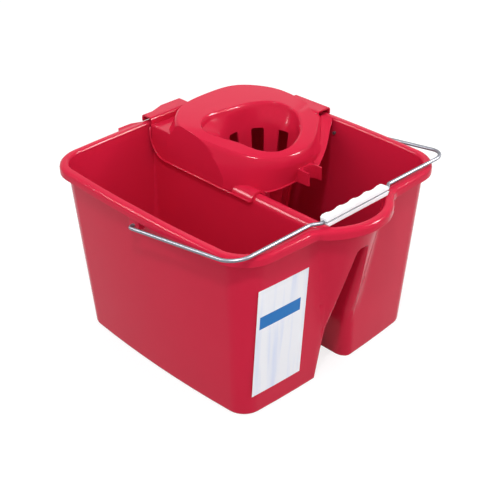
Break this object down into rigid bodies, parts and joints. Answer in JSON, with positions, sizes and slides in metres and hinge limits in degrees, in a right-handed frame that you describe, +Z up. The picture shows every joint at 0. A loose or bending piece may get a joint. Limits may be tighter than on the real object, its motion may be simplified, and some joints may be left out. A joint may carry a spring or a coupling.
{
  "type": "divided mop bucket with wringer",
  "caption": "Red plastic mop bucket with a folded divider between two wells, a pouring bay, a lift-off wringer with a slotted funnel, and a wire bail with a clip-on grip.",
  "frame": {"origin": "middle of the footprint, on the floor", "axes": "+Z up, -Y to the pouring bay and the folded bail, +X to the well that carries the wringer"},
  "size_m": [0.4366, 0.4682, 0.3012],
  "materials": {
    "red_plastic": "smooth gloss moulded polypropylene",
    "steel_wire": "bright galvanised wire",
    "white_plastic": "satin moulded plastic",
    "label_film": "printed film, left plain"
  },
  "bodies": {
    "tub": {"tub": "red_plastic", "label": "label_film"},
    "wringer": {"wringer": "red_plastic"},
    "bail": {"bail_wire": "steel_wire", "bail_grip": "white_plastic"}
  },
  "joints": [
    {"name": "bail_hinge", "type": "hinge", "parent": "tub", "child": "bail", "pos_m": [0, 0.01285, 0.253], "axis": [-1, 0, 0], "range_deg": [0, 158]},
    {"name": "wringer_lift", "type": "slide", "parent": "tub", "child": "wringer", "axis": [0, 0, 1], "range_m": [0, 0.16]}
  ]
}
